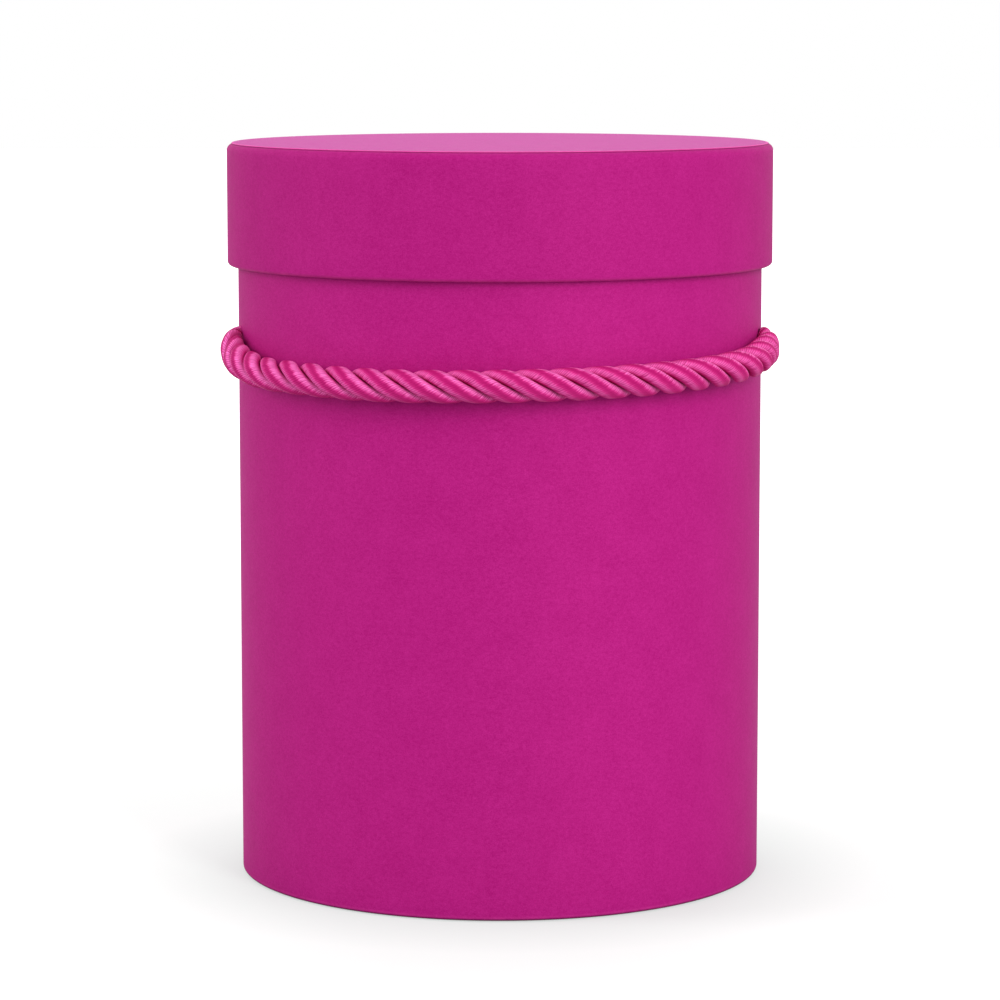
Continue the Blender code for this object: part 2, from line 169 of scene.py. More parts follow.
# %% A smooth curve through the points
def smooth_curve(rows, step):
    """Natural cubic spline through rows, with the distance between points as its parameter.

    Between two points it is the cubic whose bend goes evenly from one point's to the next one's,
    and whose slope is the same on both sides of every point. It returns rows a step apart, and
    the index of the row at each of the points.
    """
    hops = np.linalg.norm(np.diff(rows[:, :3], axis=0), axis=1)
    marks = np.concatenate([[0.0], np.cumsum(hops)])
    count = len(rows)
    system = np.eye(count)
    inner = np.arange(1, count - 1)
    system[inner, inner - 1] = hops[:-1]
    system[inner, inner] = 2 * (hops[:-1] + hops[1:])
    system[inner, inner + 1] = hops[1:]
    slopes = np.diff(rows, axis=0) / hops[:, None]
    right = np.zeros_like(rows)
    right[1:-1] = 6 * np.diff(slopes, axis=0)
    bends = np.linalg.solve(system, right)
    at = np.linspace(0.0, marks[-1], math.ceil(marks[-1] / step) + 1)
    k = np.clip(np.searchsorted(marks, at, side="right") - 1, 0, count - 2)
    to_end, from_start, hop = (marks[k + 1] - at)[:, None], (at - marks[k])[:, None], hops[k][:, None]
    rows_at = (
        (bends[k] * to_end**3 + bends[k + 1] * from_start**3) / (6 * hop)
        + (rows[k] / hop - bends[k] * hop / 6) * to_end
        + (rows[k + 1] / hop - bends[k + 1] * hop / 6) * from_start
    )
    return rows_at, np.searchsorted(at, marks - 1e-9)


ROPE_STEP = 0.55 * MM
rope_line, marks = smooth_curve(route, ROPE_STEP)
rope_hops = np.linalg.norm(np.diff(rope_line[:, :3], axis=0), axis=1)
rope_places = np.concatenate([[0.0], np.cumsum(rope_hops)])
left_join, right_join = marks[len(knot) - 1], marks[-len(knot)]

# %% [markdown]
# ## Carrying a section along the route
#
# A rope twists evenly only if the frame that carries its section doesn't twist by itself. The frame
# is therefore passed from one point to the next with two reflections, which keeps it from turning
# about the line. It starts in the middle of the front, where one axis points away from the wall and
# the other points up, so the flattened stretch at the holes lies the right way round. Blender's own
# curve twist would do for a round tube, but it can't be read back for the strands.

# %% Frames that don't twist
NO_TURN = 1e-18


def carried_axes(line, start, axis):
    """Pass an axis along a line from one point, with the double reflection of each step.

    The first reflection maps a point on to the next one, the second maps the first one's
    direction on to the next one's. Each step needs the one before it, so it is a loop along
    the line.
    """
    tangent = np.gradient(line, axis=0)
    tangent /= np.linalg.norm(tangent, axis=1)[:, None]
    axes = np.zeros_like(line)
    axes[start] = axis
    for step in (1, -1):
        i = start
        while 0 <= i + step < len(line):
            j = i + step
            hop = line[j] - line[i]
            side = axes[i] - 2 / hop.dot(hop) * hop.dot(axes[i]) * hop
            ahead = tangent[i] - 2 / hop.dot(hop) * hop.dot(tangent[i]) * hop
            turn = tangent[j] - ahead
            spread = turn.dot(turn)
            axes[j] = side - (2 / spread * turn.dot(side) * turn if spread > NO_TURN else 0)
            i = j
    axes -= (axes * tangent).sum(axis=1)[:, None] * tangent
    axes /= np.linalg.norm(axes, axis=1)[:, None]
    return tangent, axes


middle = int(np.argmin(np.abs(rope_line[:, 0]) + (rope_line[:, 1] > 0)))
tangents, outs = carried_axes(rope_line[:, :3], middle, np.array([0.0, -1.0, 0.0]))
ups = np.cross(outs, tangents)
print("frame in the middle: out", outs[middle].round(3), "up", ups[middle].round(3))

# %% [markdown]
# ## Three strands in one surface
#
# The rope has three strands laid to the right, which means that they wind like the thread of an
# ordinary screw, so across the front they run down to the right. Pressed together, each strand is a
# third of a circle with a round back, and deep grooves run between them. The section is therefore one
# outline with three lobes, and it turns once in every lay length as it is carried along the route.
# Three separate tubes would do as well, but they would cross each other in the middle. Every lobe has
# its own strip of a UV map, in millimetres round the strand and along the rope, so the fine threads
# can follow the strand and not the world.

# %% The rope's section
LAY_LENGTH = 29.6 * MM
GROOVE_DEPTH = 0.46
GROOVE_SHARPNESS = 3.5
CREASE_DEPTH = 0.14
CREASE_SHARPNESS = 14
LOBE_POINTS = 22
EVEN_SHARE = 0.35
STRIP_PITCH = 20
STRAND_PHASE = math.radians(-30.0)
SQUEEZE_RISE = 0.35
ROPE_CREASE = 55

# from one groove, -1, to the next, 1, with the points closer together near the grooves
crowded = np.sin(np.linspace(-0.5, 0.5, LOBE_POINTS + 1) * math.pi)
lobe = EVEN_SHARE * np.linspace(-1, 1, LOBE_POINTS + 1) + (1 - EVEN_SHARE) * crowded
groove_share = GROOVE_DEPTH * np.abs(lobe) ** GROOVE_SHARPNESS
lobe_girth = 1 - groove_share - CREASE_DEPTH * np.abs(lobe) ** CREASE_SHARPNESS
lobe_angle = lobe * math.pi / 3
lobe_outline = lobe_girth[:, None] * np.column_stack([np.cos(lobe_angle), np.sin(lobe_angle)])
lobe_arc = np.concatenate([[0.0], np.cumsum(np.linalg.norm(np.diff(lobe_outline, axis=0), axis=1))])
lobe_arc *= CORD_RADIUS / MM
print("round one strand's back:", round(lobe_arc[-1], 2), "mm")


def rope_girths(girth):
    """Half width away from the wall and half height, as shares of the full radius.

    Squeezed by the edge of the hole, the rope gets flatter and a little higher, as soft strands
    do, which give way to the sides.
    """
    return girth, 1 + SQUEEZE_RISE * (1 - girth)


# %% Twist along the rope
LEFT_TWIST, RIGHT_TWIST = 0.35, 0.45
LEFT_REACH, RIGHT_REACH = 34 * MM, 42 * MM
TWIST_RAMP = 20 * MM


def twist_turns():
    """The section's turn along the rope, in turns from the middle of the front.

    It is the sum of hop over lay length. Where the cord is squeezed at the holes it has been
    twisted up harder, so there the lay length is shorter, by a smooth step before the hole.
    """
    from_middle = np.abs(rope_places - rope_places[middle])
    hole_mark = marks[len(knot) + len(entry) - 1 - HOLE_ROW]
    hole_place = np.abs(rope_places[hole_mark] - rope_places[middle])
    right = rope_places > rope_places[middle]
    reach, twist = np.where(right, RIGHT_REACH, LEFT_REACH), np.where(right, RIGHT_TWIST, LEFT_TWIST)
    way = np.clip((from_middle - hole_place + reach) / TWIST_RAMP, 0, 1)
    tightness = 1 + twist * way * way * (3 - 2 * way)
    turns = np.concatenate([[0.0], np.cumsum(rope_hops * tightness[1:])]) / LAY_LENGTH
    return turns - turns[middle]


rope_turns = twist_turns()
print("turns in the whole rope:", round(rope_turns[-1] - rope_turns[0], 1))


# %% Points and faces as an object
def new_piece(name, points, faces, crease):
    """An object that is shaded smooth, but sharp where faces meet at more than the crease's degrees."""
    mesh = bpy.data.meshes.new(name)
    mesh.from_pydata(points, [], faces)
    mesh.shade_smooth()
    mesh.set_sharp_from_angle(angle=math.radians(crease))
    piece = bpy.data.objects.new(name, mesh)
    scene.collection.objects.link(piece)
    print(name, len(mesh.polygons), "faces")
    return piece


# %% The rope's surface
def rope_mesh(name, first, last, cap_first, cap_last):
    """Sweep the three-lobed section along the route from one row to another.

    A point is the line's point, plus the lobe's girth times the cosine of its angle along the
    axis away from the wall, and times the sine along the axis that points up. The angle falls
    by a full turn in each lay length. The attribute "lift" keeps each point's height on the rope,
    from -1 at its lowest edge to 1, and is 0 in the middle of both ends.
    """
    rows = slice(first, last + 1)
    line, place = rope_line[rows], rope_places[rows]
    count, around = len(line), 3 * LOBE_POINTS
    angle = (lobe_angle[None, :-1] + np.arange(3)[:, None] * math.tau / 3).ravel()
    girth = np.tile(lobe_girth[:-1], 3)
    turn = angle[None, :] - math.tau * rope_turns[rows, None] + STRAND_PHASE
    wide, high = rope_girths(line[:, 3])
    across = (CORD_RADIUS * wide[:, None] * girth[None, :] * np.cos(turn))[..., None]
    upward = (CORD_RADIUS * high[:, None] * girth[None, :] * np.sin(turn))[..., None]
    points = line[:, None, :3] + across * outs[rows][:, None, :] + upward * ups[rows][:, None, :]
    points = points.reshape(-1, 3)
    i, j = np.meshgrid(np.arange(count - 1), np.arange(around), indexing="ij")
    j_next = (j + 1) % around
    quads = np.stack([i * around + j, i * around + j_next, (i + 1) * around + j_next,
                      (i + 1) * around + j], axis=-1).reshape(-1, 4)
    k = j % LOBE_POINTS
    arc_u = np.stack([lobe_arc[k], lobe_arc[k + 1], lobe_arc[k + 1], lobe_arc[k]], axis=-1)
    along_v = np.stack([place[i], place[i], place[i + 1], place[i + 1]], axis=-1) / MM
    strip = STRIP_PITCH * (j // LOBE_POINTS)[..., None]
    uv = np.stack([arc_u + strip, along_v], axis=-1).reshape(-1, 2)
    piece = add_swept(name, points, quads, uv, around, line, tangents[rows], cap_first, cap_last)
    lift = np.concatenate([(girth[None, :] * np.sin(turn)).ravel(), [0.0, 0.0]]).astype(np.float32)
    piece.data.attributes.new("lift", "FLOAT", "POINT").data.foreach_set("value", lift)
    return piece


def add_swept(name, points, quads, uv, around, line, ahead, cap_first, cap_last):
    """Close a swept surface with a low dome at each end and make it an object."""
    ends = []
    for ring, centre, direction, rise in (
        (np.arange(around)[::-1], line[0, :3], -ahead[0], cap_first),
        (np.arange(around) + len(points) - around, line[-1, :3], ahead[-1], cap_last),
    ):
        top = len(points)
        points = np.vstack([points, centre + direction * rise])
        ends += [(a, b, top) for a, b in zip(ring, np.roll(ring, -1))]
    piece = new_piece(name, points, quads.tolist() + ends, ROPE_CREASE)
    cap_uv = np.zeros((3 * len(ends), 2))
    layer = piece.data.uv_layers.new(name="threads")
    layer.data.foreach_set("uv", np.vstack([uv, cap_uv]).ravel().astype(np.float32))
    return piece


FLUSH = 0.0
TAIL_DOME = 0.5 * MM
cord = rope_mesh("twisted_cord", left_join, right_join, FLUSH, FLUSH)
left_knot = rope_mesh("left_overhand_knot", 0, left_join, TAIL_DOME, FLUSH)
right_knot = rope_mesh("right_overhand_knot", right_join, len(rope_line) - 1, FLUSH, TAIL_DOME)

# %% [markdown]
# ## Paper, as a folded sheet
#
# The covering paper is a quarter of a millimetre thick and is folded over the rim, the foot and the
# lid's edges. A cylinder with a bevel would look smooth all over, but the folds, the cut edges and
# the seam are what show that it is paper. Each sheet is therefore a profile, from one cut edge over
# its folds to the other, carried round the axis from the seam at the back to the seam again. The
# sheet gets its thickness from its own normals, and its cut edges are closed with a strip.

# %% Sizes of the papers
PAPER = 0.25 * MM
GLUE = 0.3 * MM
BODY_HEIGHT = 220.4 * MM
SEAM_GAP = 0.15 * MM
COLUMN = math.radians(1.25)
HALF_COLUMNS = round(math.pi / COLUMN)
ROW_HEIGHT = 3 * MM
FOLD_STEPS = 8
PAPER_CREASE = 40

lid_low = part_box("lid_wrap")[0].z
lid_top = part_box("lid_top_cover")[1].z
lid_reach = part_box("lid_wrap")[1].x
print("lid from", round(lid_low, 5), "to", round(lid_top, 5), "m, reach", round(lid_reach, 5), "m")


# %% Profiles
def fold(centre_r, centre_z, radius, start, end):
    """A fold's arc round a centre, from start to end in degrees, as (radius, height) points."""
    angle = np.radians(np.linspace(start, end, FOLD_STEPS + 1))
    return np.column_stack([centre_r + radius * np.cos(angle), centre_z + radius * np.sin(angle)])


def run(start, end, step):
    """A straight run from start to end in even steps, without its two ends."""
    start, end = np.array(start), np.array(end)
    count = max(int(round(np.linalg.norm(end - start) / step)), 1)
    return start + (end - start) * (np.arange(1, count) / count)[:, None]


def joined(*parts):
    """Profile parts one after another, with a straight run between each two."""
    rows = [np.atleast_2d(parts[0])]
    for part in parts[1:]:
        part = np.atleast_2d(part)
        rows += [run(rows[-1][-1], part[0], ROW_HEIGHT), part]
    return np.vstack(rows)


# %% [markdown]
# ## A round hole in a grid
#
# The two cord holes are cut through the wall's papers. A boolean could punch them, but it leaves
# slivers in a thin sheet. Instead a square block of the grid's cells is left out, and its border is
# joined to a circle by rows of cells that go over from the square to the circle. The same points of
# the border are used on both sides, so nothing can gape.

# %% Sheets of paper
HOLE_CELLS = 6
DENT_DEPTH = 0.22 * MM
DENT_FADE = 0.7 * MM
patch_shares = np.array([0.30, 0.56, 0.76, 0.89, 0.97, 1.0])


def sheet_grid(profile, azimuths):
    """Grid points by profile row and azimuth: the profile's radius turned round, and its height."""
    radius, height = profile[:, :1], profile[:, 1:]
    x, y = radius * np.sin(azimuths), -radius * np.cos(azimuths)
    return np.stack([x, y, np.broadcast_to(height, x.shape)], axis=-1)


def grid_quads(rows, columns, keep):
    """The grid's cells as quads, where the mask says that they are kept."""
    i, j = np.nonzero(keep)
    return np.column_stack([i * columns + j, (i + 1) * columns + j, (i + 1) * columns + j + 1,
                            i * columns + j + 1])


def hole_block(profile, azimuths, centre_azimuth):
    """The rows and columns of the square block of cells round a hole's centre."""
    column = int(np.argmin(np.abs(azimuths - centre_azimuth)))
    row = int(np.argmin(np.abs(profile[:, 1] - HOLE_HEIGHT)))
    return row - HOLE_CELLS, row + HOLE_CELLS, column - HOLE_CELLS, column + HOLE_CELLS


def hole_patch(block, columns, profile, azimuths, centre_azimuth, radius, first_index):
    """Rows of cells from a square border to a circle.

    A border point keeps its direction from the hole's centre, and its distance goes evenly over
    to the circle's radius. Near the circle the sheet is pressed inwards by a fading dent.
    """
    top, bottom, left, right = block
    ring = (
        [(top, j) for j in range(left, right)] + [(i, right) for i in range(top, bottom)]
        + [(bottom, j) for j in range(right, left, -1)] + [(i, left) for i in range(bottom, top, -1)]
    )
    ring = np.array(ring)
    wall = profile[top, 0]
    flat = np.column_stack([(azimuths[ring[:, 1]] - centre_azimuth) * wall,
                            profile[ring[:, 0], 1] - HOLE_HEIGHT])
    reach = np.linalg.norm(flat, axis=1)
    steps = patch_shares[:, None]
    distance = reach * (1 - steps) + radius * steps
    spread = flat / reach[:, None]
    across, up = distance * spread[:, 0], distance * spread[:, 1]
    dent = DENT_DEPTH * np.exp(-(distance - radius) / DENT_FADE)
    azimuth, depth = centre_azimuth + across / wall, wall - dent
    points = np.stack([depth * np.sin(azimuth), -depth * np.cos(azimuth), HOLE_HEIGHT + up], axis=-1)
    count = len(ring)
    index = np.vstack([ring[:, 0] * columns + ring[:, 1],
                       first_index + np.arange(len(steps) * count).reshape(len(steps), count)])
    a, b = index[:-1], index[1:]
    quads = np.stack([a, b, np.roll(b, -1, axis=1), np.roll(a, -1, axis=1)], axis=-1)
    return points.reshape(-1, 3), quads.reshape(-1, 4)


# %% Giving a sheet its thickness
def thick_sheet(name, points, quads, thickness):
    """Double a sheet inwards along its normals and close its borders with a strip.

    A point's normal is the sum of the crossed diagonals of the cells that meet there.
    """
    corners = points[quads]
    facing = np.cross(corners[:, 2] - corners[:, 0], corners[:, 3] - corners[:, 1])
    normals = np.zeros_like(points)
    np.add.at(normals, quads.ravel(), np.repeat(facing, 4, axis=0))
    normals /= np.linalg.norm(normals, axis=1)[:, None]
    count = len(points)
    edges = np.concatenate([quads[:, [k, (k + 1) % 4]] for k in range(4)])
    forward = edges[:, 0].astype(np.int64) * count + edges[:, 1]
    backward = edges[:, 1].astype(np.int64) * count + edges[:, 0]
    border = edges[~np.isin(forward, backward)]
    strip = np.column_stack([border[:, 1], border[:, 0], border[:, 0] + count, border[:, 1] + count])
    both_sides = np.vstack([points, points - thickness * normals])
    faces = np.vstack([quads, quads[:, ::-1] + count, strip])
    return new_piece(name, both_sides, faces.tolist(), PAPER_CREASE)


def wrapped_paper(name, profile, gap_radius, hole_radius=0.0):
    """A sheet wrapped round the axis, with its seam at the back and, if asked, two round holes."""
    half_gap = SEAM_GAP / 2 / gap_radius
    azimuths = np.arange(-HALF_COLUMNS, HALF_COLUMNS + 1) * COLUMN
    azimuths[[0, -1]] += (half_gap, -half_gap)
    points = sheet_grid(profile, azimuths).reshape(-1, 3)
    rows, columns = len(profile), len(azimuths)
    keep = np.ones((rows - 1, columns - 1), bool)
    patches, added = [], []
    if hole_radius:
        for side in (-1, 1):
            block = hole_block(profile, azimuths, side * HOLE_AZIMUTH)
            keep[block[0]:block[1], block[2]:block[3]] = False
            first = len(points) + sum(len(more) for more in added)
            more, quads = hole_patch(block, columns, profile, azimuths, side * HOLE_AZIMUTH,
                                     hole_radius, first)
            added.append(more)
            patches.append(quads)
    quads = np.vstack([grid_quads(rows, columns, keep)] + patches)
    return thick_sheet(name, np.vstack([points] + added), quads, PAPER)


# %% [markdown]
# ## The box's own papers
#
# The outer paper runs from inside the rim, over it, down the wall and in under the foot. The lining
# starts on the floor and stops a little below the rim, where it steps over the turned-in edge. Both
# could be plain tubes, but then the rim would show a cut edge, where the real one shows a fold. Levels
# and radii are worked out from the boards and the glue between, in the order they are put on.

# %% Outer paper of the box
RIM_FOLD = 1.2 * MM
FOOT_FOLD = 0.7 * MM
TURN_IN = 15.0 * MM
TURN_UNDER = 14.0 * MM
FOOT_LEVEL = PAPER + 0.04 * MM
WALL_BOARD = 1.8 * MM
BASE_BOARD = 2.0 * MM
tube_inner = WALL_RADIUS - PAPER - GLUE - WALL_BOARD
turn_in_inner = tube_inner - GLUE - PAPER
hole_rows = HOLE_HEIGHT + np.arange(HOLE_CELLS, -HOLE_CELLS - 1, -1) * COLUMN * WALL_RADIUS
hole_stretch = np.column_stack([np.full(len(hole_rows), WALL_RADIUS), hole_rows])

wall_profile = joined(
    (turn_in_inner, BODY_HEIGHT - TURN_IN),
    fold(turn_in_inner + RIM_FOLD, BODY_HEIGHT - RIM_FOLD, RIM_FOLD, 180, 90),
    fold(WALL_RADIUS - RIM_FOLD, BODY_HEIGHT - RIM_FOLD, RIM_FOLD, 90, 0),
    hole_stretch,
    fold(WALL_RADIUS - FOOT_FOLD, FOOT_LEVEL + FOOT_FOLD, FOOT_FOLD, 0, -90),
    (WALL_RADIUS - TURN_UNDER, FOOT_LEVEL),
)
wall_paper = wrapped_paper("wall_paper", wall_profile, WALL_RADIUS, HOLE_RADIUS)

# %% Lining of the wall
LINING_STEP = 1.0 * MM
LINING_SETBACK = 5.0 * MM
board_level = 2 * (PAPER + GLUE)
lining_level = board_level + BASE_BOARD + GLUE + PAPER + GLUE
lining_low = tube_inner - GLUE - PAPER
lining_high = turn_in_inner - GLUE - PAPER
step_top = BODY_HEIGHT - TURN_IN - GLUE
lining_hole = np.column_stack([np.full(len(hole_rows), lining_low), hole_rows])
lining_profile = joined(
    (lining_low, lining_level),
    lining_hole[::-1],
    (lining_low, step_top - LINING_STEP),
    (lining_high, step_top),
    (lining_high, BODY_HEIGHT - LINING_SETBACK),
)
lining_paper = wrapped_paper("wall_lining", lining_profile, lining_low, HOLE_RADIUS)

# %% [markdown]
# ## The lid's papers
#
# The skirt's paper is turned over the upper edge and lies under the paper of the lid's top. At the
# lower edge it goes round the board in a small roll and runs up inside the skirt to the lid's disc.
# The top's paper is a disc cut a little smaller than the lid, so its edge shows as a fine line. It is
# pressed on to the rounded edge, and a flat disc there would stand off like a coin.

# %% Skirt paper
LID_EDGE = 2.2 * MM
DISC_GAP = 1.4 * MM
LID_FOLD = 1.2 * MM
TURN_OVER = 14.0 * MM
LID_CLEARANCE = 0.7 * MM
TOP_RISE = 0.3 * MM
GLUE_FILM = 0.03 * MM
SKIRT_DROP = 0.35 * MM
skirt_inner = WALL_RADIUS + LID_CLEARANCE
lid_disc_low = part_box("lid_disc")[0].z
shoulder = lid_top + TOP_RISE - PAPER - GLUE_FILM
skirt_low = lid_low - SKIRT_DROP

skirt_profile = joined(
    (lid_reach - TURN_OVER, shoulder),
    fold(lid_reach - LID_EDGE, shoulder - LID_EDGE, LID_EDGE, 90, 0),
    fold(lid_reach - LID_FOLD, skirt_low + LID_FOLD, LID_FOLD, 0, -90),
    fold(skirt_inner + LID_FOLD, skirt_low + LID_FOLD, LID_FOLD, -90, -180),
    (skirt_inner, lid_disc_low - GLUE),
)
skirt_paper = wrapped_paper("skirt_paper", skirt_profile, lid_reach)


# %% Round papers
EDGE_BULGE = 0.4
# rings in shares of the radius, closer together towards the cut edge
ring_shares = np.concatenate([
    np.linspace(0.02, 0.9, 18), np.linspace(0.91, 0.985, 10), np.linspace(0.9875, 0.9985, 6),
])


def round_paper(name, radius, low, high, bend_radius=0.0, bend_start=0.0):
    """A disc of paper, closed at both poles.

    Its profile runs out over the top, down the cut edge and back underneath. Outside the start of
    the bend it follows a rounded edge: there its height is less by the bend's radius, minus the
    root of the radius squared less the distance past the start squared.
    """
    azimuths = np.arange(2 * HALF_COLUMNS) * COLUMN
    edge = np.linspace(-1, 1, 5)[1:-1]
    thick, half_way = high - low, (low + high) / 2
    top = np.column_stack([radius * ring_shares, np.full(len(ring_shares), high)])
    rim = np.column_stack([radius - EDGE_BULGE * thick * edge**2, half_way - 0.5 * thick * edge])
    bottom = np.column_stack([radius * ring_shares[::-1], np.full(len(ring_shares), low)])
    profile = np.vstack([top, rim, bottom])
    if bend_radius:
        past = np.maximum(profile[:, 0] - bend_start, 0)
        profile[:, 1] -= bend_radius - np.sqrt(bend_radius**2 - past**2)
    rows, columns = len(profile), len(azimuths)
    points = sheet_grid(profile, azimuths).reshape(-1, 3)
    points = np.vstack([points, [(0, 0, profile[0, 1]), (0, 0, profile[-1, 1])]])
    i, j = np.meshgrid(np.arange(rows - 1), np.arange(columns), indexing="ij")
    j_next = (j + 1) % columns
    quads = np.stack([i * columns + j, (i + 1) * columns + j, (i + 1) * columns + j_next,
                      i * columns + j_next], axis=-1).reshape(-1, 4)
    ring, last = np.arange(columns), (rows - 1) * columns
    ring_next = np.roll(ring, -1)
    poles = np.vstack([
        np.column_stack([np.full(columns, rows * columns), ring, ring_next]),
        np.column_stack([np.full(columns, rows * columns + 1), ring_next + last, ring + last]),
    ])
    return new_piece(name, points, quads.tolist() + poles.tolist(), PAPER_CREASE)


def paper_for(name, node):
    """A flat round paper with the levels and the radius of its solid."""
    low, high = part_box(node)
    return round_paper(name, high.x, low.z, high.z)


top_low = lid_top + TOP_RISE - PAPER
top_paper = round_paper("lid_top_paper", lid_reach - DISC_GAP, top_low, lid_top + TOP_RISE,
                        bend_radius=LID_EDGE, bend_start=lid_reach - LID_EDGE)
lid_inside = paper_for("lid_inside_paper", "lid_lining")
floor_paper = paper_for("floor_lining", "base_lining")
under_paper = paper_for("underside_paper", "base_cover")

# %% [markdown]
# ## Tape on the tails
#
# Each tail is bound with a turn and a bit of clear tape before it is cut, so that the strands don't
# open. A ring would do from afar, but tape that is wound shows where its outer end lies over its
# start, so the sleeve's outside climbs by one thickness in a turn and drops back in a small step.

# %% The end tapes
TAPE_INSIDE = 5.12 * MM
TAPE_OUTSIDE = 5.28 * MM
TAPE_THICKNESS = 0.1 * MM
TAPE_WIDTH = 5.9 * MM
TAPE_SIDES = 72
TAPE_CREASE = 30
TAPE_SETBACK = 4.0 * MM


def end_tape(name, centre_row, sign):
    """A sleeve round the tail, whose radius steps up by the tape's thickness where it overlaps.

    Four rings, inside and outside at both ends, each a circle in the rope's own two axes.
    """
    line, ahead = rope_line[centre_row, :3], sign * tangents[centre_row]
    side, up = outs[centre_row], ups[centre_row]
    angle = np.arange(TAPE_SIDES) * math.tau / TAPE_SIDES
    inner = np.full(TAPE_SIDES, TAPE_INSIDE)
    outer = TAPE_OUTSIDE + TAPE_THICKNESS * (angle / math.tau)
    section = [(inner, -0.5), (outer, -0.5), (outer, 0.5), (inner, 0.5)]
    rings = [
        line + (radius * np.cos(angle))[:, None] * side + (radius * np.sin(angle))[:, None] * up
        + share * TAPE_WIDTH * ahead
        for radius, share in section
    ]
    i, j = np.meshgrid(np.arange(4), np.arange(TAPE_SIDES), indexing="ij")
    here, there, j_next = i * TAPE_SIDES, (i + 1) % 4 * TAPE_SIDES, (j + 1) % TAPE_SIDES
    quads = np.stack([here + j, here + j_next, there + j_next, there + j], axis=-1)
    return new_piece(name, np.vstack(rings), quads.reshape(-1, 4).tolist(), TAPE_CREASE)


tape_rows = int(round(TAPE_SETBACK / ROPE_STEP))
left_tape = end_tape("left_tail_tape", tape_rows, -1)
right_tape = end_tape("right_tail_tape", len(rope_line) - 1 - tape_rows, 1)

# %% [markdown]
# ## Writing materials as expressions
#
# A material is a formula: so much of one tone where the noise is high, and less of it near a fold. It
# could be drawn in the shader editor, but a formula reads best as one. The class below wraps a socket,
# and adding or multiplying two of them adds the Math node that does it. Colours go through Mix nodes.

# %% A socket that can be added and multiplied
class Value:
    """A number that varies over the surface, with the operators that build Math nodes."""

    def __init__(self, tree, socket):
        self.tree = tree
        self.socket = socket

    def math(self, operation, *others, clamp=False):
        """The named operation on this value and others, which may be plain numbers."""
        node = self.tree.nodes.new("ShaderNodeMath")
        node.operation = operation
        node.use_clamp = clamp
        for place, item in enumerate((self,) + others):
            if isinstance(item, Value):
                self.tree.links.new(item.socket, node.inputs[place])
            else:
                node.inputs[place].default_value = item
        return Value(self.tree, node.outputs[0])

    def flipped(self, operation, other):
        """The operation with the plain number first, for 1 - value."""
        node = self.tree.nodes.new("ShaderNodeMath")
        node.operation = operation
        node.inputs[0].default_value = other
        self.tree.links.new(self.socket, node.inputs[1])
        return Value(self.tree, node.outputs[0])

    def __add__(self, other):
        return self.math("ADD", other)

    def __radd__(self, other):
        return self.math("ADD", other)

    def __sub__(self, other):
        return self.math("SUBTRACT", other)

    def __rsub__(self, other):
        return self.flipped("SUBTRACT", other)

    def __mul__(self, other):
        return self.math("MULTIPLY", other)

    def __rmul__(self, other):
        return self.math("MULTIPLY", other)

    def __truediv__(self, other):
        return self.math("DIVIDE", other)

    def between(self, low, high):
        """0 at low, 1 at high, even in between and level past both. High may be the smaller one."""
        return ((self - low) / (high - low)).math("ADD", 0.0, clamp=True)

    def hump(self, centre, width):
        """1 at the centre, falling smoothly to 0 at a width to either side."""
        away = (self - centre) / width
        near = (1 - away * away).math("MAXIMUM", 0.0)
        return near * near


# %% A material as a small book of nodes
class Finish:
    """A Principled material, with one method that adds any node and one that mixes colours."""

    def __init__(self, name, colour, roughness, **settings):
        self.material = bpy.data.materials.new(name)
        self.material.use_nodes = True
        self.tree = self.material.node_tree
        self.shader = self.tree.nodes["Principled BSDF"]
        self.shader.inputs["Base Color"].default_value = (*colour, 1.0)
        self.shader.inputs["Roughness"].default_value = roughness
        for socket, value in settings.items():
            self.shader.inputs[socket.replace("_", " ")].default_value = value

    def node(self, kind, settings=None, **inputs):
        """Any node: its type, its settings, and its sockets' values or links."""
        made = self.tree.nodes.new(kind)
        for key, value in (settings or {}).items():
            setattr(made, key, value)
        for key, value in inputs.items():
            socket = made.inputs[key.replace("_", " ")]
            if isinstance(value, Value):
                self.tree.links.new(value.socket, socket)
            else:
                socket.default_value = value
        return made

    def value(self, node, output=0):
        """One of a node's outputs, by number or by name."""
        return Value(self.tree, node.outputs[output])

    def place(self):
        """The point's place on the object, in metres."""
        return self.value(self.node("ShaderNodeTexCoord"), "Object")

    def parts(self, vector):
        """The three parts of a vector."""
        split = self.node("ShaderNodeSeparateXYZ", Vector=vector)
        return [self.value(split, k) for k in range(3)]

    def noise(self, vector, size, detail=3.0, roughness=0.5):
        """Noise from 0 to 1, whose lumps are about one size, in the vector's own unit."""
        made = self.node("ShaderNodeTexNoise", Vector=vector, Scale=1 / size, Detail=detail,
                         Roughness=roughness)
        return self.value(made)

    def blend(self, share, first, second):
        """First colour where share is 0, second where it is 1."""
        made = self.node("ShaderNodeMix", {"data_type": "RGBA"})
        self.link(share, made.inputs[0])
        self.link(first, made.inputs[6])
        self.link(second, made.inputs[7])
        return self.value(made, 2)

    def link(self, item, socket):
        """Give a socket a value, a colour or a number."""
        if isinstance(item, Value):
            self.tree.links.new(item.socket, socket)
        elif isinstance(item, tuple):
            socket.default_value = (*item, 1.0)
        else:
            socket.default_value = item

    def set(self, name, item):
        """Feed one of the shader's own sockets."""
        self.link(item, self.shader.inputs[name])

    def bump(self, height, distance, strength=1.0):
        """Relief of a height from 0 to 1, as deep as the distance in metres."""
        made = self.node("ShaderNodeBump", Height=height, Distance=distance, Strength=strength)
        self.set("Normal", self.value(made))


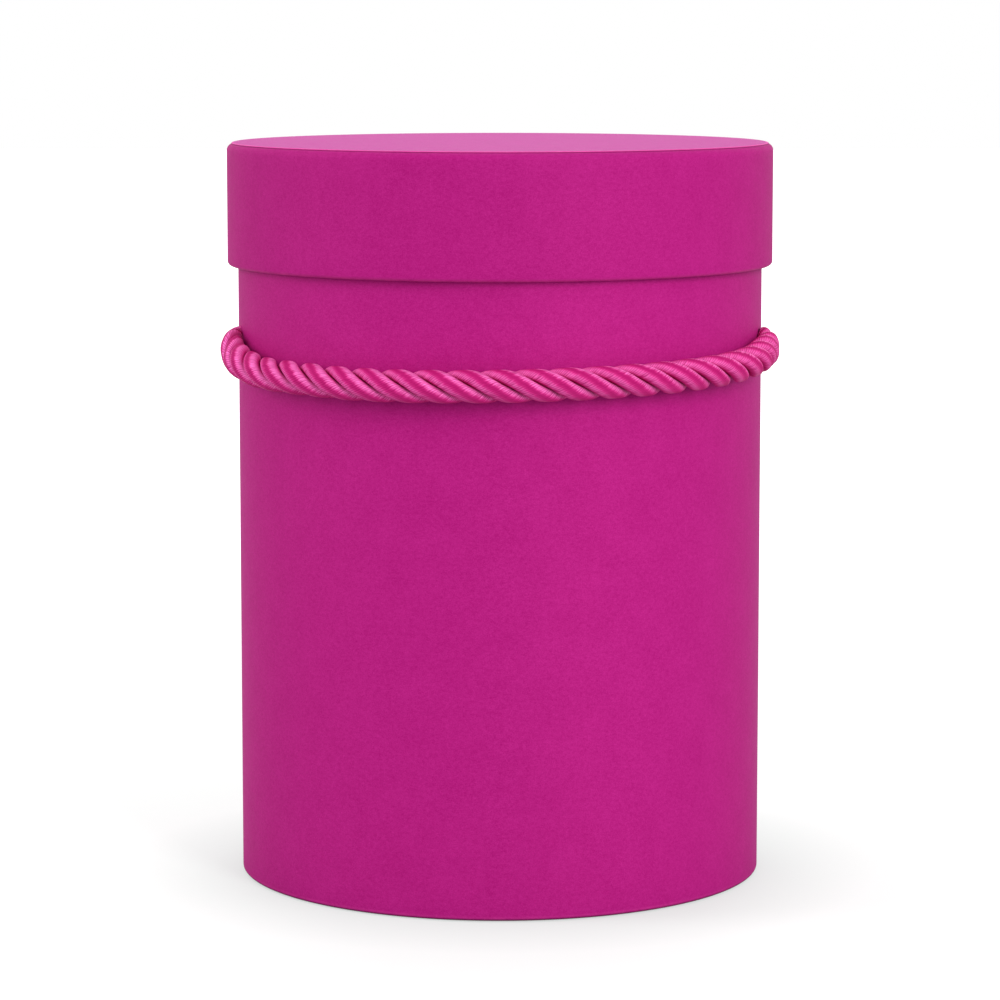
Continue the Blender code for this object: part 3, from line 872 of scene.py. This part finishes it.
# %% [markdown]
# ## Dyed paper
#
# The covering is matte paper dyed through. One flat colour would look like plastic. Close up the real
# one has a faint cloudy tone, fine fibres that lie round the box, a fine grain and a slight tooth.
# Along the folds the colour is paler, partly rubbed pale by use and partly as a painted highlight.
# Along the top's cut edge it is a painted highlight, with a painted shadow line on the cut itself, and
# the foot and the lid's upper fold are darkened as painted shade. The lid's paper is painted a little
# darker and the top's a little lighter, as painted shade and painted light for the light each gets.
# A low metallic share gives a shine in the paper's own colour, and a bluish sheen gives the pale
# bloom that the lid's top has when it is seen from nearly its own level.

# %% Fuchsia paper
FUCHSIA = (0.524, 0.0190, 0.247)
FUCHSIA_DEEP = (0.343, 0.0010, 0.137)
# paler tone: at the folds partly rubbed by use and partly painted highlight, at a cut edge painted
# highlight
FUCHSIA_WORN_AND_HIGHLIT = (0.84, 0.080, 0.385)
# painted shade above the foot, on the top's cut and on the lid's upper fold
FUCHSIA_PAINTED_SHADE = (0.10, 0.004, 0.05)
BLOOM = (0.43, 0.49, 1.0, 1.0)
ALONG_THE_SHEET = (1.0, 1.0, 1.5)


def dyed_paper(name, fuzz, folds=(), foot=None, painted_light_scale=1.0, gloss=0.12, shine=0.07, cut_edge=None,
               soft_fold=None):
    """Cloudy colour, fibres and tooth, with folds paler at the given heights, partly rubbed by use and
    partly as a painted highlight.

    A foot, given by its height, gets painted shade just above it. A sheet with a cut edge, given by
    its distance from the axis, gets a painted highlight close to it and a painted shadow on the cut
    itself. A soft fold, given by its height, loses the paper's gloss and gets a little painted shade
    just below that height. A scale of the tone, given per sheet, is painted light or painted shade
    for a sheet that gets more or less light than the others.
    """
    finish = Finish(name, FUCHSIA, 0.56, Specular_IOR_Level=shine, Metallic=gloss, Sheen_Weight=fuzz,
                    Sheen_Roughness=0.26, Sheen_Tint=BLOOM)
    # the tone's scale is painted light or painted shade, for a sheet that gets more or less light
    deep, plain = (tuple(painted_light_scale * part for part in tone) for tone in (FUCHSIA_DEEP, FUCHSIA))
    place = finish.place()
    x, y, z = finish.parts(place)
    clouds = finish.noise(place, 9 * MM, detail=4.0)
    lying = finish.value(finish.node("ShaderNodeMapping", Vector=place, Scale=ALONG_THE_SHEET))
    fibres = finish.noise(lying, 1.2 * MM, detail=5.0, roughness=0.65)
    grain = finish.noise(lying, 0.35 * MM, detail=2.0, roughness=0.7)
    dyed = (clouds * 0.30 + fibres * 0.90 + grain * 1.3 - 0.75).between(0, 1)
    cloudy = finish.blend(dyed, deep, plain)
    patchy = finish.noise(place, 5 * MM, detail=5.0, roughness=0.7).between(0.38, 0.72)
    worn_and_highlit, painted_shade = 0.0, 0.0
    # the folds are painted paler, partly rubbed by use and partly painted highlight
    for level in folds:
        near_fold = (z - level).math("ABSOLUTE").between(1.1 * MM, 0.1 * MM)
        worn_and_highlit = near_fold * (patchy * 0.25 + 0.15) + worn_and_highlit
    # painted shade just above the foot
    if foot:
        painted_shade = z.between(foot + 0.96 * MM, foot + 0.26 * MM) * 0.8
    # painted highlight just inside the top's cut edge, and a painted shadow line on the cut itself
    if cut_edge:
        inside = cut_edge - (x * x + y * y).math("SQRT")
        painted_shade = inside.between(0.16 * MM, 0.08 * MM) * 0.35
        worn_and_highlit = inside.between(0.8 * MM, 0.4 * MM) * (patchy * 0.3 + 0.55)
    # painted shade on the lid's upper fold, which faces the lamps
    if soft_fold:
        painted_shade = z.between(soft_fold - 1.8 * MM, soft_fold - 0.2 * MM) * 0.20 + painted_shade
    worn_and_highlit_tone = finish.blend(worn_and_highlit, cloudy, FUCHSIA_WORN_AND_HIGHLIT)
    finish.set("Base Color", finish.blend(painted_shade, worn_and_highlit_tone, FUCHSIA_PAINTED_SHADE))
    finish.set("Roughness", finish.noise(place, 3 * MM, detail=2.0) * 0.08 + 0.54)
    if soft_fold:
        finish.set("Metallic", z.between(soft_fold - 1.0 * MM, soft_fold - 3.0 * MM) * gloss)
    tooth = finish.noise(place, 0.5 * MM, roughness=0.6)
    finish.bump(tooth + fibres * 0.5, 0.035 * MM)
    return finish.material


wall_finish = dyed_paper("fuchsia_wall_paper", 0.035, folds=(BODY_HEIGHT, FOOT_LEVEL + 0.4 * MM),
                         foot=FOOT_LEVEL)
under_finish = dyed_paper("fuchsia_underside_paper", 0.035)
# the lid's paper is painted a little darker, as painted shade
lid_finish = dyed_paper("fuchsia_lid_paper", 0.0, folds=(skirt_low,), painted_light_scale=0.95, gloss=0.075,
                        shine=0.06, soft_fold=shoulder)
# the top's paper is painted a little lighter, as painted light
top_finish = dyed_paper("fuchsia_top_paper", 0.165, painted_light_scale=1.07, cut_edge=lid_reach - DISC_GAP)
for paper in (wall_finish, under_finish, lid_finish, top_finish):
    print(paper.name, len(paper.node_tree.nodes), "nodes")

# %% [markdown]
# ## Lining paper and board
#
# Inside, the box is lined with smooth white paper. The board hardly shows, only as a fine line where
# the covering paper meets itself in the seams. It is made from waste paper, so it is a greyish brown
# with dark flecks. Both are mixes of two near tones by noise, because pulp is never quite even.

# %% White lining paper
LINING = (0.80, 0.78, 0.75)
LINING_DIM = (0.77, 0.745, 0.71)
LINING_BRIGHT = (0.83, 0.81, 0.785)


def white_paper(name):
    """Nearly white, with soft clouds, short fibres and a fine tooth."""
    finish = Finish(name, LINING, 0.7)
    place = finish.place()
    clouds = finish.noise(place, 14 * MM)
    fibres = finish.noise(place, 1.1 * MM, detail=5.0, roughness=0.7)
    cloudy = (clouds * 0.6 + fibres * 0.6).between(0.3, 0.9)
    finish.set("Base Color", finish.blend(cloudy, LINING_DIM, LINING_BRIGHT))
    finish.set("Roughness", fibres * 0.15 + 0.62)
    finish.bump(finish.noise(place, 0.4 * MM) + fibres * 0.4, 0.03 * MM)
    return finish.material


lining_finish = white_paper("white_lining_paper")
print(lining_finish.name, len(lining_finish.node_tree.nodes), "nodes")

# %% Grey chipboard
PULP = (0.36, 0.32, 0.26)
PULP_DARK = (0.33, 0.29, 0.235)
PULP_LIGHT = (0.42, 0.38, 0.32)
PULP_FLECK = (0.16, 0.13, 0.11)


def grey_board(name):
    """Grey-brown pulp with flecks and a coarse felted surface."""
    finish = Finish(name, PULP, 0.88)
    place = finish.place()
    flecks = finish.noise(place, 0.7 * MM, detail=6.0, roughness=0.75)
    layers = finish.noise(place, 4 * MM)
    base = finish.blend(layers, PULP_DARK, PULP_LIGHT)
    finish.set("Base Color", finish.blend(flecks.between(0.62, 0.7), base, PULP_FLECK))
    finish.bump(flecks + layers * 0.5, 0.08 * MM)
    return finish.material


board_finish = grey_board("grey_chipboard")
print(board_finish.name, len(board_finish.node_tree.nodes), "nodes")

# %% [markdown]
# ## Satin threads
#
# Each strand is a bundle of fine shiny threads that turn the other way from the strands. On a strand's
# back they cross the strand and lean 28 degrees past the rope's own direction. Modelling every thread
# would take millions of faces, so they are a pattern in the strand's own UV map. It holds millimetres
# round the strand and along the rope, and a thread is a line where the way round, less the way along
# times a slope, stays the same. The satin's shine is painted into the tone as long soft highlight
# bands along a strand's back, on both sides of its crown, so that they show in any soft light. The
# grooves between the strands are painted dark as shade.

# %% Satin cord
# the groove tone is painted shade, and the light tone is a painted highlight
SATIN_GROOVE_SHADE = (0.36, 0.001, 0.045)
SATIN_DEEP = (0.45, 0.009, 0.140)
SATIN = (0.74, 0.038, 0.275)
SATIN_PAINTED_HIGHLIGHT = (1.0, 0.195, 0.600)
THREAD_WIDTH = 0.75
THREAD_LEAN = math.radians(28.0)
# where each painted highlight band lies round a strand's back, and how far it fades, as shares of it
BRIGHT_BAND = (0.81, 0.24)
FAINT_BAND = (0.29, 0.25)
FAINT_SHARE = 0.70
strand_back = float(lobe_arc[-1])
thread_slope = math.tau * CORD_RADIUS / LAY_LENGTH + math.tan(THREAD_LEAN)
print("thread slope", round(thread_slope, 3), "mm round the strand for each mm along the rope")


def satin_threads(name):
    """Fine ridges along the threads, and two painted highlight bands along each strand's back.

    The tone goes from a deep one to a light one where a band is, and back to the deep one between
    two threads, with streaks of noise drawn out along the threads. Higher on the rope the painted
    highlights come a little earlier and brighter, and lower on it the deep tone gives way to the plain
    one, both as painted light by height. In the grooves the tone is painted dark, as painted shade.
    """
    finish = Finish(name, SATIN, 0.45, Specular_IOR_Level=0.03, Metallic=0.1)
    uv = finish.value(finish.node("ShaderNodeUVMap", {"uv_map": "threads"}))
    around, along, _ = finish.parts(uv)
    across = around - along * thread_slope
    drift = finish.node("ShaderNodeCombineXYZ", X=across * 1.6, Y=along * 0.16, Z=around * 0.1)
    streaks = finish.noise(finish.value(drift), 1.0, roughness=0.65)
    ridge = (across * (math.tau / THREAD_WIDTH) + streaks * 5).math("SINE") * 0.5 + 0.5
    lift = finish.value(finish.node("ShaderNodeAttribute", {"attribute_name": "lift"}), "Fac")
    back = around.math("MODULO", float(STRIP_PITCH)) / strand_back
    # painted light by height: higher on the rope the bands shift and brighten, and its lower side gets a
    # lighter tone
    share = back + (streaks - 0.5) * 0.22 + lift * 0.14
    # painted highlight bands along each strand's back, whose strength also sets roughness and metallic
    bands = share.hump(*BRIGHT_BAND) + share.hump(*FAINT_BAND) * FAINT_SHARE
    gloss = bands * (lift * 0.12 + 1.0)
    below = lift.math("MINIMUM", 0.0)
    body = finish.blend((gloss * 1.6 - below * 0.45).between(0, 0.8), SATIN_DEEP, SATIN)
    lit = finish.blend((gloss - 0.35).between(0, 0.65), body, SATIN_PAINTED_HIGHLIGHT)
    hatch = (ridge * 0.5 + streaks * 1.5 - 0.35).between(0, 1)
    threads = finish.blend(hatch, SATIN_DEEP, lit)
    # painted shade in the grooves between the strands
    groove = back.between(0.13, 0.03) + back.between(0.92, 0.99)
    finish.set("Base Color", finish.blend(groove, threads, SATIN_GROOVE_SHADE))
    finish.set("Roughness", 0.52 - gloss * 0.12)
    finish.set("Metallic", gloss.between(0.1, 1.1) * 0.25)
    finish.bump(ridge + streaks * 0.8, 0.12 * MM)
    return finish.material


satin_finish = satin_threads("satin_threads")
print(satin_finish.name, len(satin_finish.node_tree.nodes), "nodes")

# %% [markdown]
# ## Clear tape
#
# The tape on the tails is a clear film. Real refraction would cost much and show little on something
# so thin, so it is a pale, glossy, half see-through skin, with uneven gloss where it was pressed on.

# %% Clear tape
TAPE_TINT = (0.85, 0.80, 0.80)


def clear_film(name):
    """A pale see-through film with uneven gloss."""
    finish = Finish(name, TAPE_TINT, 0.18, Alpha=0.38, Coat_Weight=0.4)
    finish.set("Roughness", finish.noise(finish.place(), 1.5 * MM) * 0.15 + 0.12)
    return finish.material


tape_finish = clear_film("clear_tape")
print(tape_finish.name, len(tape_finish.node_tree.nodes), "nodes")

# %% [markdown]
# ## Putting the pieces on the bodies
#
# Every piece moves with the box or with the lid, stands for one of the solids, takes a finish, and
# is listed with one of the object's named materials. One table says all of it, so that no piece is
# forgotten. The boards keep their solids, whose shape is right, and only get the chipboard's finish.

# %% Put the finishes on
for piece, finish, body, node, slot in (
    (wall_paper, wall_finish, "box", "body_wrap", "cover_paper"),
    (under_paper, under_finish, "box", "base_cover", "cover_paper"),
    (lining_paper, lining_finish, "box", "body_lining", "lining_paper"),
    (floor_paper, lining_finish, "box", "base_lining", "lining_paper"),
    (skirt_paper, lid_finish, "lid", "lid_wrap", "cover_paper"),
    (top_paper, top_finish, "lid", "lid_top_cover", "cover_paper"),
    (lid_inside, lining_finish, "lid", "lid_lining", "lining_paper"),
    (cord, satin_finish, "box", "cord_handle", "satin_cord"),
    (left_knot, satin_finish, "box", "left_knot", "satin_cord"),
    (right_knot, satin_finish, "box", "right_knot", "satin_cord"),
    (left_tape, tape_finish, "box", "left_end_tape", "end_tape"),
    (right_tape, tape_finish, "box", "right_end_tape", "end_tape"),
):
    piece.data.materials.append(finish)
    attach(piece, body)
    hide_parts(node)
    print(piece.name, "rides on", body)

# %% The boards' finish
for node in ("body_tube", "base_disc", "lid_rim", "lid_disc"):
    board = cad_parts[node]
    board.data.materials.clear()
    board.data.materials.append(board_finish)
    print(node, "is", board_finish.name)

# %% [markdown]
# ## The cord's path
#
# The path is the middle line of the free stretch, from join to join.

PATH_STEP = 4
[tuple(p) for p in rope_line[left_join:right_join + 1:PATH_STEP, :3]]

# %% [markdown]
# ## Floor and light
#
# The picture has a plain white ground with a soft shadow round the foot. A floor of white paint would
# need so much light that the box would look washed out. This one is a middle grey that takes the
# shadow, with a glow that only the camera sees and that makes it white where no shadow falls. Round
# the foot the grey is darker, as painted shadow, and a little green, to cancel the pink light that
# the box throws there, because the picture's shadow has no colour.

# %% Floor
FLOOR_HALF = 6.0
# painted shadow round the foot, a little green to cancel the box's pink light
FLOOR_PAINTED_SHADOW = (0.31, 0.36, 0.335)
FLOOR_FAR = (0.42, 0.445, 0.43)
FLOOR_GLOW = 0.51


def plain_floor(name, half):
    """A flat square under the object, white to the camera apart from the object's shadow.

    The colour changes with the distance from the axis just outside the foot, darker and greener near
    it as painted shadow, and the camera's glow grows from its least to 1 between 0.3 and 0.9 m.
    """
    mesh = bpy.data.meshes.new(name)
    corners = np.array([(-1, -1, 0), (1, -1, 0), (1, 1, 0), (-1, 1, 0)]) * half
    mesh.from_pydata(corners, [], [(0, 1, 2, 3)])
    floor = bpy.data.objects.new(name, mesh)
    scene.collection.objects.link(floor)
    finish = Finish(name + "_finish", FLOOR_FAR, 0.9, Specular_IOR_Level=0.1)
    seen = finish.value(finish.node("ShaderNodeLightPath"), "Is Camera Ray")
    x, y, _ = finish.parts(finish.place())
    reach = (x * x + y * y).math("SQRT")
    # darker and greener near the foot: painted shadow
    finish.set("Base Color", finish.blend(reach.between(82 * MM, 118 * MM), FLOOR_PAINTED_SHADOW, FLOOR_FAR))
    away = reach.between(0.30, 0.90)
    glow = finish.node("ShaderNodeEmission", Strength=seen * (away * (1 - FLOOR_GLOW) + FLOOR_GLOW))
    both = finish.node("ShaderNodeAddShader")
    finish.tree.links.new(finish.shader.outputs[0], both.inputs[0])
    finish.tree.links.new(glow.outputs[0], both.inputs[1])
    output = finish.tree.nodes["Material Output"]
    finish.tree.links.new(both.outputs[0], output.inputs["Surface"])
    mesh.materials.append(finish.material)
    print(name, 2 * half, "m wide")


plain_floor("pale_floor", FLOOR_HALF)

# %% [markdown]
# ## World
#
# The world is white to the camera, in reflections and through clear things. As light it is a little
# weaker, so that with the lamps the paper has the picture's tone.

# %% World
SKY_LIGHT = 0.80
SKY_SEEN = 1.0

world = bpy.data.worlds.new("studio")
scene.world = world
world.use_nodes = True
background = world.node_tree.nodes["Background"]
rays = world.node_tree.nodes.new("ShaderNodeLightPath")
to_camera, through_clear, in_gloss = (
    Value(world.node_tree, rays.outputs[kind])
    for kind in ("Is Camera Ray", "Is Transmission Ray", "Is Glossy Ray")
)
seen = to_camera.math("MAXIMUM", through_clear).math("MAXIMUM", in_gloss)
strength = seen * (SKY_SEEN - SKY_LIGHT) + SKY_LIGHT
world.node_tree.links.new(strength.socket, background.inputs["Strength"])
background.inputs["Color"].default_value = (1.0, 1.0, 1.0, 1.0)
print("sky", SKY_SEEN, "to the camera and", SKY_LIGHT, "as light")

# %% [markdown]
# ## Lamps
#
# Light without hard edges needs large lamps. One hangs over the box and a little behind it, and
# lights the lid's top. Three stand round it, far enough away to light the wall evenly from top to
# foot. The narrow one to the right of the camera makes the brightest stripe on the wall, and the two
# at the sides lift the wall's edges. Their powers were set so that the tones across the wall follow
# the picture's.

# %% Lamps
LAMP_DISTANCE = 2.7
LAMP_LEVEL = 1.23
LAMP_SIDE = 1.6


def soft_lamp(name, place, target, width, height, power):
    """A rectangular soft light, wide and high as asked, that looks at a point.

    Its tilt is the angle between straight down and the way to the point, and its turn about the
    upright axis is the compass direction of that way.
    """
    data = bpy.data.lights.new(name, "AREA")
    data.shape = "RECTANGLE"
    data.size = width
    data.size_y = height
    data.energy = power
    lamp = bpy.data.objects.new(name, data)
    way = np.array(target) - np.array(place)
    lamp.location = place
    lamp.rotation_euler = (math.acos(-way[2] / np.linalg.norm(way)), 0.0, math.atan2(-way[0], way[1]))
    scene.collection.objects.link(lamp)


centre = (0.0, 0.0, 0.13)
soft_lamp("overhead_softbox", (0.0, 1.1, 2.37), centre, LAMP_SIDE, LAMP_SIDE, 19.0)
# azimuth from the front in degrees, width in metres, power in watts
for name, azimuth, width, power in (
    ("right_front_softbox", 30.0, 0.7, 40.0),
    ("right_softbox", 62.0, 1.6, 12.0),
    ("left_softbox", -85.0, 1.0, 33.0),
):
    angle = math.radians(azimuth)
    place = (LAMP_DISTANCE * math.sin(angle), -LAMP_DISTANCE * math.cos(angle), LAMP_LEVEL)
    soft_lamp(name, place, centre, width, LAMP_SIDE, power)
